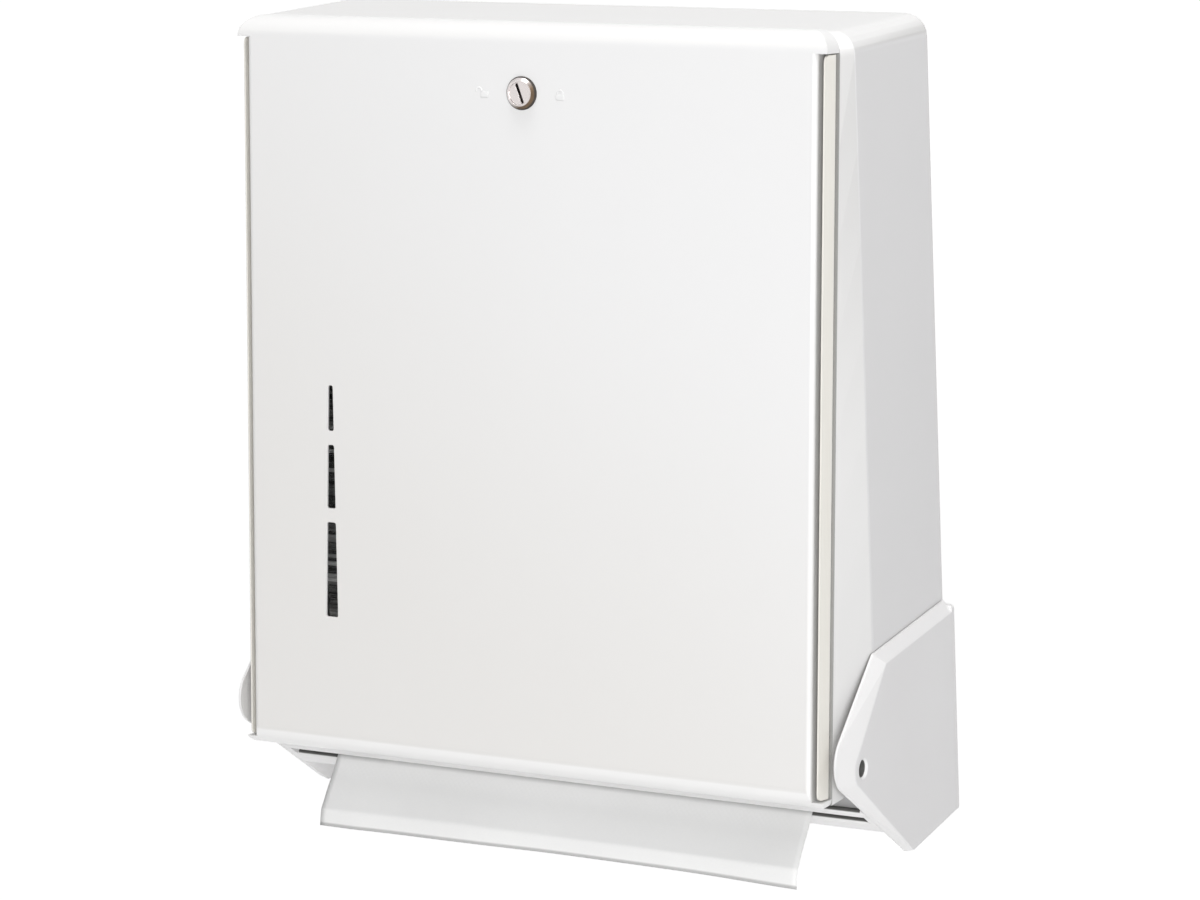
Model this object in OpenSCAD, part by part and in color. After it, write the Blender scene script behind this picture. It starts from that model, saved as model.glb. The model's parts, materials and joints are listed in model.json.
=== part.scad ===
// Wall dispenser for folded paper towels: a steel front in a moulded cover that
// swings down on two cheeks, a slanted towel throat, and a cam lock at the head.
// Millimetres, +Z up, wall plane at Y = 0, front towards -Y.
// The origin is the centre of the wall-screw pattern.

/* [Overall] */
// Width over the two hinge cheeks
overall_w = 295.4; // [285:0.2:310]
// Depth from the wall to the foot of the steel front
foot_depth = 124; // [118:0.5:132]
// Depth from the wall to the head of the steel front
head_depth = 91; // [87:0.5:98]
// Upright height of the steel front
front_h = 318; // [300:1:340]
// Height of the wall-screw pattern's centre above the foot of the front
pattern_rise = 168; // [155:1:180]

/* [Steel front] */
// Sheet thickness
pan_t = 1; // [0.8:0.1:1.2]
// Depth of the folded returns
pan_flange = 11.6; // [11:0.1:12.4]
// Outer radius of the roll at the head
head_roll_r = 8.5; // [7:0.5:10.5]
// Outer radius of the roll at the foot
foot_roll_r = 9.5; // [7:0.5:10.5]
// Outer radius of the side bends
side_bend_r = 2; // [1.6:0.1:2.4]
// Radius of the front's upper corners
head_corner_r = 9; // [6:0.5:9]
// Radius of its lower corners
foot_corner_r = 3.5; // [2:0.5:3.5]
// Height of the full-width head above the notches for the side bands
notch_head = 9.2; // [9:0.1:12]
// Height of the full-width foot below those notches
notch_foot = 3.8; // [3.6:0.1:6]

/* [Sight gauge] */
// Distance of the gauge from the centre line
gauge_x = 93.7; // [70:0.1:110]
// Height of the gauge's lower end above the foot
gauge_rise = 61; // [45:1:80]
// Lengths of the three slots, lowest first
gauge_slots = [41.5, 27.7, 19.8];
// Steel left between two slots
gauge_bridge = 6.1; // [4:0.1:8]
// Width at the lower end
gauge_foot_w = 5.9; // [4:0.1:8]
// Width at the upper end
gauge_head_w = 2.2; // [2:0.1:3]
// Corner radius of the slots
gauge_corner_r = 0.9; // [0.4:0.1:0.9]

/* [Cover shell] */
// Wall thickness
shell_t = 2.2; // [1.8:0.1:2.6]
// Depth of the crease in the sides, from the wall
crease_depth = 74; // [60:0.5:74]
// How far each side flares from its front edge to the crease
flare = 4.05; // [3.5:0.05:5]
// Fall of the roof from the head of the front to the wall
roof_fall = 6; // [3:0.5:10]
// Radius of the roof's long edges
roof_edge_r = 9.5; // [6:0.5:12]
// Gap between the shell's rear edge and the wall
wall_gap = 0.6; // [0.3:0.1:1.5]

/* [Side bands] */
// Thickness of the band's front edge
band_t = 0.7; // [0.6:0.1:1]
// How far the band widens outwards from its front edge to its rear
band_taper = 1.3; // [0.8:0.1:1.8]
// Set-back of the band behind the front face
band_set = 2; // [1:0.1:3]
// Reveal between the steel front and the band
band_gap = 2.2; // [1.6:0.1:2.6]
// Reveal at the ends of the band
band_end_gap = 0.6; // [0.4:0.1:1]
// Radius of the band's front corners
band_tip_r = 3; // [1:0.5:4]
// Width of the groove behind the band
groove_w = 2.4; // [1.6:0.1:3]
// Depth of that groove
groove_d = 1.2; // [0.8:0.1:1.4]
// How far the shell's front edge stands out beyond the band
groove_step = 0.5; // [0.2:0.1:0.8]

/* [Hinge] */
// Distance of the pivot behind the foot of the front
pivot_setback = 24.6; // [22:0.1:28]
// Height of the pivot above the foot of the front
pivot_rise = 12.7; // [11:0.1:15]
// Radius of the hinge pins
pin_r = 3.45; // [2.5:0.05:4]
// Radial running clearance of the pins in the cheeks
pin_play = 0.05; // [0.02:0.01:0.1]
// Depth of the pin's end below the cheek's outer face
pin_recess = 3.2; // [1.5:0.1:3.5]
// Thickness of the hinge plates
plate_t = 1.5; // [1.2:0.1:2]
// Height of the hinge plates above the foot
plate_h = 72; // [60:1:85]
// Reach of the hinge plates behind the front face
plate_reach = 41; // [38:0.5:46]

/* [Cheeks] */
// Thickness of a cheek
cheek_t = 4.65; // [4:0.05:6]
// Gap between a cheek and the shell's side
side_play = 0.4; // [0.3:0.05:0.6]
// Radius of the rounded front end, about the pivot
boss_r = 13; // [12:0.1:14]
// Length of the rounded nose, forward of the pivot along the throat's slope
nose_run = 8; // [0:0.5:10]
// Height of the cheek's top above the foot of the front
cheek_rise = 58; // [50:0.5:66]
// Fall of the top edge from the wall to its front corner
cheek_fall = 2.5; // [0:0.5:6]
// Depth of that corner, from the wall
cheek_top_run = 78; // [70:0.5:84]
// Depth of the lowest point, from the wall
apex_run = 50; // [44:0.5:58]
// Drop of the rear lower corner below the foot of the front
heel_drop = 37.5; // [30:0.5:38]
// Width of the bevel along the top and the front
bevel = 5.2; // [3:0.1:6.5]

/* [Towel shelf] */
// Slope of the throat below the level
throat_slope = 36.7; // [34:0.1:40]
// Distance from the pivot's foot point to the throat's rail, along the slope
rail_start = 22.5; // [22:0.1:25]
// Width of the rail
rail_w = 4; // [3:0.1:5]
// Clear width of the throat along the slope
throat_w = 10; // [8:0.5:12]
// Width of the lip below the throat
lip_w = 9.5; // [7:0.5:12]
// Wall thickness of the shelf
shelf_t = 2.5; // [2:0.1:3]
// Drop of the shelf's floor below the foot of the front
floor_drop = 6; // [5.5:0.1:8]
// Number of ribs under the floor
shelf_ribs = 5; // [3:1:7]

/* [Wall plate] */
// Thickness of the wall plate
panel_t = 2.6; // [2:0.1:3.2]
// Drop of the plate's top edge below the head of the front
panel_top_drop = 10.5; // [9.5:0.5:20]
// Height of the sliding ribs, which keep the towels off the screws
rib_h = 3; // [2.6:0.1:4]
// Radius of the wall-screw holes
wall_hole_r = 2.75; // [2.25:0.05:3.25]
// Spacing of the wall-screw holes across
hole_span_x = 254; // [246:0.5:258]
// Spacing of the wall-screw holes upright
hole_span_z = 203.2; // [196:0.2:208]

/* [Lock] */
// Distance of the lock below the head of the front, along the front
lock_drop = 29.2; // [24:0.1:36]
// Radius of the lock's bezel at its base
bezel_r = 7; // [6.8:0.1:8]
// Radius of the bezel's face
bezel_face_r = 5.4; // [5.2:0.1:6]
// Height of the bezel above the front
bezel_h = 2.5; // [2:0.1:4]
// Radius of the lock's body
body_r = 6; // [5.6:0.1:6.4]
// Length of the lock's body behind the front face
body_len = 18; // [16:0.5:20]
// Radius of the plug
plug_r = 4.8; // [4.2:0.05:5]
// Radial running clearance of the plug
plug_play = 0.05; // [0.02:0.01:0.1]
// Lean of the key slit at rest
key_lean = 21; // [0:1:30]
// Length of the cam from its axis
cam_len = 19; // [17:0.5:22]
// Thickness of the cam
cam_t = 2; // [1.5:0.1:2.5]
// Width of the cam's tongue
cam_w = 9.5; // [8:0.1:11]
// Thickness of the lock's stiffener
brace_t = 1.2; // [1:0.1:1.6]
// Width of the stiffener
brace_w = 26; // [22:0.5:30]
// Width of the keeper
keeper_w = 28; // [20:1:40]
// Thickness of the keeper's steel
keeper_t = 2; // [1.5:0.1:2.5]

/* [Towels] */
// Width of a folded towel
towel_w = 232.6; // [220:0.2:234]
// Depth of a folded towel
fold_d = 78.4; // [74:0.2:78.6]
// Height of the stack
stack_h = 166; // [40:1:200]
// Thickness of the dispensed towel's doubled paper
tail_t = 0.6; // [0.4:0.1:1]
// Thickness of the towel guides
guide_t = 2; // [1.5:0.1:2.5]
// Height of the towel guides
guide_h = 66; // [40:1:90]
// Distance of the guides behind the front of the stack
guide_setback = 13; // [8:0.5:20]
// Gap between a guide and the towels
guide_gap = 1; // [0.5:0.1:2]

/* [Hidden] */
$fn = 48;
eps = 0.2;
cut = 10;
seat_play = 0.3;
fit_play = 0.05;

// Heights and depths
foot_z = -pattern_rise;
head_z = foot_z + front_h;
lean = atan((foot_depth - head_depth) / front_h);
pan_len = front_h / cos(lean);
pivot_y = pivot_setback - foot_depth;
pivot_z = foot_z + pivot_rise;
floor_z = foot_z - floor_drop;

// Half widths, from the cheeks inwards
cheek_out = overall_w / 2;
cheek_in = cheek_out - cheek_t;
shell_half = cheek_in - side_play;
panel_half = shell_half - shell_t - 1.2;
face_half = shell_half - flare;
band_out = face_half - groove_step;
band_in = band_out - band_taper - band_t;
pan_half = band_in - band_gap;
seat_x = pan_half - pan_t - side_bend_r / 2 - 0.1;

// Depths behind the front face, and heights along it
shell_front = pan_flange + seat_play;
band_back = shell_front - groove_w;
band_foot = notch_foot + band_end_gap;
band_head = pan_len - notch_head - band_end_gap;
roof_step = 0.8;
shell_rise = 1;
side_steps = 8;
edge_steps = 6;

// Lock
lock_w = pan_len - lock_drop;
lock_play = 0.15;
cam_front = body_len + 0.9;
keeper_back = cam_front - 0.9;
keeper_top_w = lock_w - body_r - 2.6;
lip_h = 13;
keeper_drop = 26;

// Fasteners, and the cheeks' flanges that they hold
flange_t = 2.8;
flange_top = foot_z + cheek_rise - 2;
screw_r = 1.6;
screw_head_r = 3.2;
screw_head_h = 2;
rivet_r = 2;

// Towels
stack_back = -(panel_t + rib_h + 0.5);
stack_front = stack_back - fold_d;
guide_x = towel_w / 2 + guide_gap;
guide_foot = (cheek_in - shelf_t - guide_x - guide_t) / 2;

// Point of the front's own frame (depth behind it, height along it) in the wall's frame
function front_pt(v, w) = [v * cos(lean) + w * sin(lean) - foot_depth,
                           foot_z - v * sin(lean) + w * cos(lean)];

// The same for the throat: distance down its slope, and out from the pivot
function throat_pt(s, n) = [pivot_y + s * cos(throat_slope) - n * sin(throat_slope),
                            pivot_z - s * sin(throat_slope) - n * cos(throat_slope)];

// Height of the throat's outer face at a depth y
function throat_z(y) = throat_pt(0, boss_r).y
                       - (y - throat_pt(0, boss_r).x) * tan(throat_slope);

// Unit normal of a segment, to its left
function left_of(a, b) = [a.y - b.y, b.x - a.x] / norm(b - a);

// Points of a path moved sideways by d, mitred at its corners
function beside(path, d) = [for (i = [0:len(path) - 1])
    let (n0 = left_of(path[max(i - 1, 0)], path[max(i, 1)]),
         n1 = left_of(path[min(i, len(path) - 2)], path[min(i + 1, len(path) - 1)]),
         m = n0 + n1)
    path[i] + m * (2 * d / (m * m))];

// Outline of a strip of thickness t along a path
function strip(path, t) = concat(beside(path, t / 2), [for (i = [len(path) - 1:-1:0])
    beside(path, -t / 2)[i]]);

// Path with every inner corner cut twice as often, which rounds it
function eased(path) = concat([path[0]], [for (i = [0:len(path) - 2])
    each [path[i] * 0.75 + path[i + 1] * 0.25, path[i] * 0.25 + path[i + 1] * 0.75]],
    [path[len(path) - 1]]);

// Drawn in the plane of depth and height, and carried across the width
module across(x0, x1) {
    translate([x0, 0, 0]) rotate([90, 0, 90]) linear_extrude(x1 - x0) children();
}

// Drawn in the plane of width and height, and carried from depth y0 to y1
module through(y0, y1) {
    translate([0, y1, 0]) rotate([90, 0, 0]) linear_extrude(y1 - y0) children();
}

// Frame of the leaning front: X across, Y behind its face, Z up along it
module on_front() {
    translate([0, -foot_depth, foot_z]) rotate([-lean, 0, 0]) children();
}

// Frame of the lock: Z along its axis into the cover
module on_lock() {
    on_front() translate([0, 0, lock_w]) rotate([-90, 0, 0]) children();
}

// Frame of the throat in the plane of depth and height: X down the slope
module in_throat() {
    translate([pivot_y, pivot_z]) rotate(-throat_slope) children();
}

// Both sides of the part
module both() {
    children();
    mirror([1, 0, 0]) children();
}

// What a round of radius r takes off a square corner, with its centre at the origin
module corner_off(r) {
    difference() {
        square(r + 1);
        circle(r);
    }
}

// Rectangle with a radius for each corner, from lower left round to upper left
module soft_rect(lo, hi, r) {
    c = [lo, [hi.x, lo.y], hi, [lo.x, hi.y]];
    d = [[1, 1], [-1, 1], [-1, -1], [1, -1]];
    difference() {
        translate(lo) square(hi - lo);
        for (i = [0:3]) if (r[i] > 0)
            translate(c[i] + d[i] * r[i]) rotate(180 + 90 * i) corner_off(r[i]);
    }
}

// Cross recess in a screw's head, whose top is at the origin, cut along +Z
module cross_recess() {
    for (a = [0, 90]) rotate(a) translate([-1.8, -0.4, -eps]) cube([3.6, 0.8, 1.1 + eps]);
}

// Pan-head screw: seat at the origin, shank along +Z
module screw(len) {
    cylinder(r = screw_r, h = len);
    translate([0, 0, -screw_head_h]) difference() {
        cylinder(r1 = screw_head_r * 0.8, r2 = screw_head_r, h = screw_head_h);
        cross_recess();
    }
}

// Form of a countersunk screw or of its hole: top of the head at the origin, shank along +Z
module flat_screw(len, play) {
    cylinder(r = screw_r + play, h = len);
    cylinder(r1 = screw_head_r + play, r2 = screw_r + play, h = screw_head_r - screw_r);
}

// Wall plate
module rear_panel() color("gainsboro") difference() {
    union() {
        through(-panel_t, 0) {
            soft_rect([-panel_half, foot_z - heel_drop],
                      [panel_half, head_z - panel_top_drop], [0, 0, 8, 8]);
            soft_rect([-cheek_out, foot_z - heel_drop], [cheek_out, flange_top], [2, 2, 2, 2]);
        }
        for (x = [-95, -45, 45, 95]) through(-panel_t - rib_h, -panel_t + eps)
            soft_rect([x - 3, foot_z + 8], [x + 3, head_z - panel_top_drop - 12], [2, 2, 2, 2]);
    }
    for (x = [-1, 1], z = [-1, 1]) translate([x * hole_span_x / 2, 1, z * hole_span_z / 2])
        rotate([90, 0, 0]) cylinder(r = wall_hole_r, h = panel_t + 2);
    at_cheek_screws() cylinder(r = screw_r + fit_play, h = 2 * cut, center = true);
    at_keeper_rivets() cylinder(r = rivet_r + fit_play, h = 2 * cut, center = true);
}

// Places of the screws through a cheek's rear flange, with Z towards the wall
module at_cheek_screws() {
    for (x = [-1, 1], z = [foot_z - heel_drop + 12, foot_z + cheek_rise - 18])
        translate([x * (cheek_in - 12), -panel_t - flange_t, z]) rotate([-90, 0, 0]) children();
}

module cheek_screws() color("silver")
    at_cheek_screws() difference() {
        flat_screw(flange_t + panel_t - 0.3, 0);
        cross_recess();
    }

// Outline of a cheek in the plane of depth and height, drawn in by the bevel at its outer face
module cheek_outline(top_in, foot_in, end_r, nose) {
    rear = -panel_t;
    top = foot_z + cheek_rise - top_in;
    low = throat_z(-apex_run) + foot_in;
    hull() {
        polygon([[rear, top], [-cheek_top_run + top_in, top - cheek_fall],
                 [-apex_run, low], [rear, foot_z - heel_drop + foot_in]]);
        for (s = [0, -nose]) translate(throat_pt(s, 0)) circle(end_r);
    }
}

// Right hinge cheek: bevelled slab, pivot boss, and a flange along the wall
bore_r = pin_r + pin_play;
mouth = 1.2;
module cheek() difference() {
    union() {
        hull() {
            across(cheek_in, cheek_in + 1) cheek_outline(0, 0, boss_r, nose_run);
            across(cheek_out - 0.3, cheek_out) cheek_outline(bevel, 1.2, boss_r - bevel, 0);
        }
        translate([cheek_in - 2, pivot_y, pivot_z]) rotate([0, 90, 0])
            cylinder(r = boss_r - bevel, h = 2 + eps);
        through(-panel_t - flange_t, -panel_t)
            soft_rect([cheek_in - 19, foot_z - heel_drop + 1], [cheek_in + 1, flange_top], [3, 0, 0, 3]);
    }
    translate([cheek_out, pivot_y, pivot_z]) rotate([0, 90, 0]) {
        cylinder(r = bore_r, h = 2 * cut, center = true);
        translate([0, 0, -mouth]) cylinder(r1 = bore_r, r2 = bore_r + 2 * mouth, h = 2 * mouth);
    }
    at_cheek_screws() flat_screw(flange_t + 1, fit_play);
    at_shelf_screws() translate([0, 0, -1]) cylinder(r = screw_r + fit_play, h = shelf_screw_len + 1.5);
}

module right_cheek() color("whitesmoke") cheek();
module left_cheek() color("whitesmoke") mirror([1, 0, 0]) cheek();

// Section of the shelf in the plane of depth and height
rail_end = rail_start + rail_w;
lip_start = rail_end + throat_w;
lip_end = throat_pt(lip_start + lip_w, boss_r);
floor_back = -(panel_t + flange_t + 0.4);
bead_r = shelf_t * 0.6;

module throat_plate(s0, s1) {
    in_throat() translate([s0, -boss_r]) square([s1 - s0, shelf_t]);
}

// Round edge that the towel slides over
module throat_bead(s) {
    in_throat() translate([s, shelf_t / 2 - boss_r]) circle(bead_r);
}

// Towel shelf: floor, drop wall, throat rail and lip between two end plates, ribs beneath
module towel_shelf() color("whitesmoke") difference() {
    union() {
        across(-cheek_in, cheek_in) {
            translate([lip_end.x - shelf_t, floor_z - shelf_t])
                square([floor_back - lip_end.x + shelf_t, shelf_t]);
            polygon([[lip_end.x - shelf_t, floor_z], [lip_end.x, floor_z], lip_end,
                     [lip_end.x - shelf_t, throat_z(lip_end.x - shelf_t)]]);
            throat_plate(lip_start, lip_start + lip_w);
            throat_bead(lip_start);
            throat_plate(rail_start + bead_r, rail_end);
            throat_bead(rail_start + bead_r);
            throat_bead(rail_end);
        }
        both() across(cheek_in - shelf_t, cheek_in) polygon([
            throat_pt(rail_start + bead_r, boss_r), lip_end, [-12, lip_end.y], [-12, floor_z],
            [throat_pt(rail_end, 0).x, floor_z], throat_pt(rail_start + bead_r, boss_r - shelf_t)]);
        for (i = [0:shelf_ribs - 1]) let (x = (i - (shelf_ribs - 1) / 2) * 50)
            across(x - 1, x + 1) polygon([[lip_end.x - 0.1, floor_z - 1], [-14, floor_z - 1],
                                          [-14, floor_z - 7], [lip_end.x - 0.1, lip_end.y + 3]]);
    }
    both() at_shelf_screws() cylinder(r = screw_r + fit_play, h = 2 * cut, center = true);
}

// Places of the screws through the shelf's right end plate, with Z outwards
shelf_screw_len = shelf_t + cheek_t - 1.4;
module at_shelf_screws() {
    for (y = [lip_end.x + 14, -26]) translate([cheek_in - shelf_t, y, (floor_z + lip_end.y) / 2 - 1])
        rotate([0, 90, 0]) children();
}

module shelf_screws() color("silver") both() at_shelf_screws() screw(shelf_screw_len);

// Right towel guide: upright plate on a foot that sits on the floor
module guide() {
    outer = guide_x + guide_t;
    across(guide_x, outer) soft_rect([stack_front + guide_setback, floor_z],
        [stack_back - 8, floor_z + guide_h], [0, 0, 10, 14]);
    across(outer - eps, outer + guide_foot)
        translate([lip_end.x + 4, floor_z]) square([stack_back - 10 - lip_end.x - 4, guide_t]);
    for (y = [lip_end.x + 12, stack_back - 18]) translate([outer, y, floor_z + guide_t / 2])
        rotate([90, 0, 0]) linear_extrude(guide_t, center = true)
            polygon([[-eps, 0], [guide_foot * 0.8, 0], [-eps, guide_h * 0.4]]);
}

module right_guide() color("white") guide();
module left_guide() color("white") mirror([1, 0, 0]) guide();

// Keeper: steel strip from the wall plate to an upturned lip that the cam hooks behind
keeper_lip = front_pt(keeper_back - keeper_t / 2, keeper_top_w);
keeper_toe = front_pt(keeper_back - keeper_t / 2, keeper_top_w - lip_h);
keeper_heel = [-panel_t - keeper_t / 2, keeper_toe.y];

module lock_keeper() color("silver") difference() {
    across(-keeper_w / 2, keeper_w / 2)
        polygon(strip([keeper_heel - [0, keeper_drop], keeper_heel, keeper_toe, keeper_lip], keeper_t));
    at_keeper_rivets() cylinder(r = rivet_r + fit_play, h = 2 * cut, center = true);
}

module at_keeper_rivets() {
    for (x = [-1, 1]) translate([x * (keeper_w / 2 - 6), -panel_t - keeper_t,
                                 keeper_heel.y - keeper_drop + 9]) rotate([-90, 0, 0]) children();
}

module keeper_rivets() color("silver") at_keeper_rivets() {
    cylinder(r = rivet_r, h = panel_t + keeper_t - 0.3);
    intersection() {
        translate([0, 0, 2.2]) sphere(r = 4);
        translate([0, 0, -1.8]) cylinder(r = 3.5, h = 1.8);
    }
}

// Folded towels, standing on the floor against the sliding ribs
module towel_stack() color("ivory") across(-towel_w / 2, towel_w / 2)
    soft_rect([stack_front, floor_z], [stack_back, floor_z + stack_h], [3, 3, 3, 3]);

// Towel that hangs from the throat: route of its middle, from under the stack to its free edge
mid_throat = (rail_end + lip_start) / 2;
tail_route = [[lip_end.x - shelf_t - 3.3, floor_z - tail_t], throat_pt(mid_throat - 1.4, 6),
              throat_pt(mid_throat - 2.4, 12.6), throat_pt(mid_throat - 2.4, 19.8),
              throat_pt(mid_throat - 3, 27.4), throat_pt(mid_throat - 4, 35),
              throat_pt(mid_throat - 3.8, 40), throat_pt(mid_throat - 2.5, 46)];

module dispensed_towel() color("white") across(-towel_w / 2, towel_w / 2)
    polygon(strip(eased(eased(tail_route)), tail_t));

// Outer or inner form of the steel front: rolled head and foot, and notched sides with a bend
module pan_form(inset) {
    x = face_half - inset;
    notch_x = pan_half - inset;
    notch_lo = notch_foot - inset;
    notch_hi = pan_len - notch_head + inset;
    bend = side_bend_r - inset;
    back = pan_flange + (inset > 0 ? 1 : 0);
    difference() {
        across(-x, x) soft_rect([inset, inset], [back, pan_len - inset],
            [foot_roll_r - inset, 0, 0, head_roll_r - inset]);
        through(-1, back + 1) for (i = [0:3])
            let (r = (i < 2 ? head_corner_r : foot_corner_r) - inset,
                 side = i == 0 || i == 3 ? 1 : -1,
                 height = i < 2 ? pan_len - inset - r : inset + r)
            translate([side * (x - r), height]) rotate(90 * i) corner_off(r);
        both() translate([notch_x, -1, notch_lo]) cube([cut, back + 2, notch_hi - notch_lo]);
        translate([0, 0, notch_lo]) linear_extrude(notch_hi - notch_lo) for (i = [2, 3])
            translate([(i == 3 ? 1 : -1) * (notch_x - bend), inset + bend]) rotate(90 * i) corner_off(bend);
    }
}

// Sight gauge: a long wedge cut into slots
function gauge_start(i) = i == 0 ? gauge_rise
    : gauge_start(i - 1) + gauge_slots[i - 1] + gauge_bridge;
gauge_last = len(gauge_slots) - 1;
gauge_end = gauge_start(gauge_last) + gauge_slots[gauge_last];
function gauge_half(w) = (gauge_foot_w + (gauge_head_w - gauge_foot_w)
    * (w - gauge_rise) / (gauge_end - gauge_rise)) / 2;

module sight_slot(w0, w1) {
    r = gauge_corner_r;
    difference() {
        polygon([[-gauge_half(w0), w0], [gauge_half(w0), w0], [gauge_half(w1), w1], [-gauge_half(w1), w1]]);
        for (i = [0:3]) let (side = i == 0 || i == 3 ? 1 : -1, w = i < 2 ? w1 : w0)
            translate([side * (gauge_half(w) - r), i < 2 ? w1 - r : w0 + r]) rotate(90 * i) corner_off(r);
    }
}

// Steel front: rolled head and foot, folded sides, sight gauge and lock hole
module front_pan() color("white") on_front() difference() {
    pan_form(0);
    pan_form(pan_t);
    translate([-gauge_x, 0, 0]) through(-1, pan_t + 1)
        for (i = [0:gauge_last]) sight_slot(gauge_start(i), gauge_start(i) + gauge_slots[i]);
    translate([0, -1, lock_w]) rotate([-90, 0, 0]) cylinder(r = body_r + lock_play, h = pan_t + 2);
}

// Height of the roof at depth y, on a straight line from the front to the wall
roof_front = front_pt(shell_front, pan_len - roof_step);
roof_back = [-wall_gap, head_z - roof_fall];
function roof_z(y) = roof_front.y + (roof_back.y - roof_front.y)
    * (y - roof_front.x) / (roof_back.x - roof_front.x);

// Arch: points up the right side, round both upper corners and down the left side
function arch(half, low, high, r) = let (rise = concat(
    [for (i = [0:side_steps]) [half, low + (high - r - low) * i / side_steps]],
    [for (i = [1:edge_steps]) let (a = 90 * i / edge_steps) [half - r + r * cos(a), high - r + r * sin(a)]]))
    concat(rise, [for (i = [len(rise) - 1:-1:0]) [-rise[i].x, rise[i].y]]);

// The arch of the shell's leaning front section, at depth v behind the front face
function front_ring(v, inset, low) = [for (p = arch(face_half - inset, low, pan_len - roof_step - inset,
    roof_edge_r - inset)) let (q = front_pt(v, p.y)) [p.x, q.x, q.y]];

// The arch of an upright section at depth y
function upright_ring(y, inset, low) = [for (p = arch(shell_half - inset, low, roof_z(y) - inset,
    roof_edge_r - inset)) [p.x, y, p.y]];

// Solid through symmetric rings of points, from front to rear
module loft(rings) {
    n = len(rings[0]);
    last = (len(rings) - 1) * n;
    rungs = [for (i = [0:n / 2 - 2]) each [[i, n - 1 - i, n - 2 - i], [i, n - 2 - i, i + 1]]];
    skin = [for (k = [0:len(rings) - 2], i = [0:n - 1]) let (a = k * n + i, b = k * n + (i + 1) % n)
        each [[a, b, b + n], [a, b + n, a + n]]];
    polyhedron(points = [for (ring = rings) each ring],
               faces = concat(rungs, skin, [for (f = rungs) [last + f[2], last + f[1], last + f[0]]]));
}

// Outer form of the shell: leaning front section, crease and rear edge
module shell_outer() loft([front_ring(shell_front, 0, shell_rise),
    upright_ring(-crease_depth, 0, foot_z + shell_rise), upright_ring(-wall_gap, 0, foot_z + shell_rise)]);

// Hollow of the shell, open at the foot and at the wall
module shell_hollow() loft([front_ring(shell_front + shell_t, shell_t, -2 * cut),
    upright_ring(-crease_depth, shell_t, foot_z - 2 * cut), upright_ring(1, shell_t, foot_z - 2 * cut)]);

// Right side band: trim in the notch of the steel front that widens to the rear, on a web
// that stands on the shell's front lip
web_in = pan_half + 0.7;
web_lap = 2.5;
module side_band() on_front() {
    intersection() {
        translate([0, 0, band_foot]) linear_extrude(band_head - band_foot)
            polygon([[band_in, band_set], [band_in + band_t, band_set],
                     [band_out, band_back], [band_in, band_back]]);
        across(band_in - 1, band_out + 1) soft_rect([band_set, band_foot], [band_back + 1, band_head],
            [band_tip_r, 0, 0, band_tip_r]);
    }
    translate([web_in, band_back - web_lap, band_foot])
        cube([band_out - groove_d - web_in, web_lap + groove_w - fit_play, band_head - band_foot]);
}

module right_band() color("antiquewhite") side_band();
module left_band() color("antiquewhite") mirror([1, 0, 0]) side_band();

// Screws of the cover: places in the front's frame, with Z outwards to the right
hinge_screws = [[25, 38], [25, 62]];
brace_screw = [24, lock_w];
cover_screw_bite = 3;
module at_cover_screws() {
    for (p = concat(hinge_screws, [brace_screw])) on_front() translate([seat_x, p.x, p.y])
        rotate([0, 90, 0]) children();
}

// Cover shell: lofted roof and sides with a front lip and screw bosses
cover_boss_r = 4;
swing_room = 0.8;
module cover_shell() color("ghostwhite") difference() {
    union() {
        difference() {
            shell_outer();
            shell_hollow();
            on_front() through(shell_front - 5, shell_front + shell_t + 1)
                soft_rect([seat_play - pan_half + pan_t, -2 * cut],
                          [pan_half - pan_t - seat_play, pan_len - roof_edge_r - 4], [0, 0, 6, 6]);
        }
        intersection() {
            both() at_cover_screws() cylinder(r = cover_boss_r, h = 2 * cut);
            translate([0, 0, -0.6]) shell_outer();
        }
    }
    both() {
        at_cover_screws() translate([0, 0, -1]) cylinder(r = screw_r + fit_play, h = cover_screw_bite + 2.5);
        translate([seat_x, pivot_y, pivot_z]) rotate([0, 90, 0])
            cylinder(r = pin_r + swing_room, h = 2 * cut);
        translate([panel_half, -panel_t - flange_t - swing_room, foot_z - cut])
            cube([cut, 2 * cut, flange_top + swing_room - foot_z + cut]);
    }
}

// Stiffener behind the lock: channel with an end tab on each side
module lock_brace() color("silver") on_front() difference() {
    union() {
        through(pan_t, pan_t + brace_t) soft_rect([-seat_x, lock_w - brace_w / 2],
            [seat_x, lock_w + brace_w / 2], [1, 1, 1, 1]);
        for (w = [lock_w - brace_w / 2, lock_w + brace_w / 2 - brace_t])
            translate([-seat_x + 12, pan_t, w]) cube([2 * seat_x - 24, 6, brace_t]);
        both() across(seat_x - brace_t, seat_x) soft_rect([pan_t, lock_w - 7],
            [brace_screw.x + 7, lock_w + 7], [0, 4, 4, 0]);
    }
    translate([0, -1, lock_w]) rotate([-90, 0, 0]) cylinder(r = body_r + lock_play, h = cut);
    both() translate([seat_x, brace_screw.x, brace_screw.y]) rotate([0, 90, 0])
        cylinder(r = screw_r + fit_play, h = cut, center = true);
}

// Right hinge plate: bracket behind the steel front that carries the pin
plate_flange = 18;
module hinge_plate() difference() {
    on_front() {
        across(seat_x - plate_t, seat_x) soft_rect([pan_t, pan_t + seat_play], [plate_reach, plate_h],
            [foot_roll_r, 9, 16, 2]);
        through(pan_t, pan_t + plate_t) soft_rect([seat_x - plate_flange, foot_roll_r + 4],
            [seat_x, plate_h], [4, 0, 0, 4]);
    }
    translate([seat_x, pivot_y, pivot_z]) rotate([0, 90, 0])
        cylinder(r = pin_r + fit_play, h = cut, center = true);
    at_cover_screws() cylinder(r = screw_r + fit_play, h = cut, center = true);
}

module right_hinge_plate() color("silver") hinge_plate();
module left_hinge_plate() color("silver") mirror([1, 0, 0]) hinge_plate();

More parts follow.
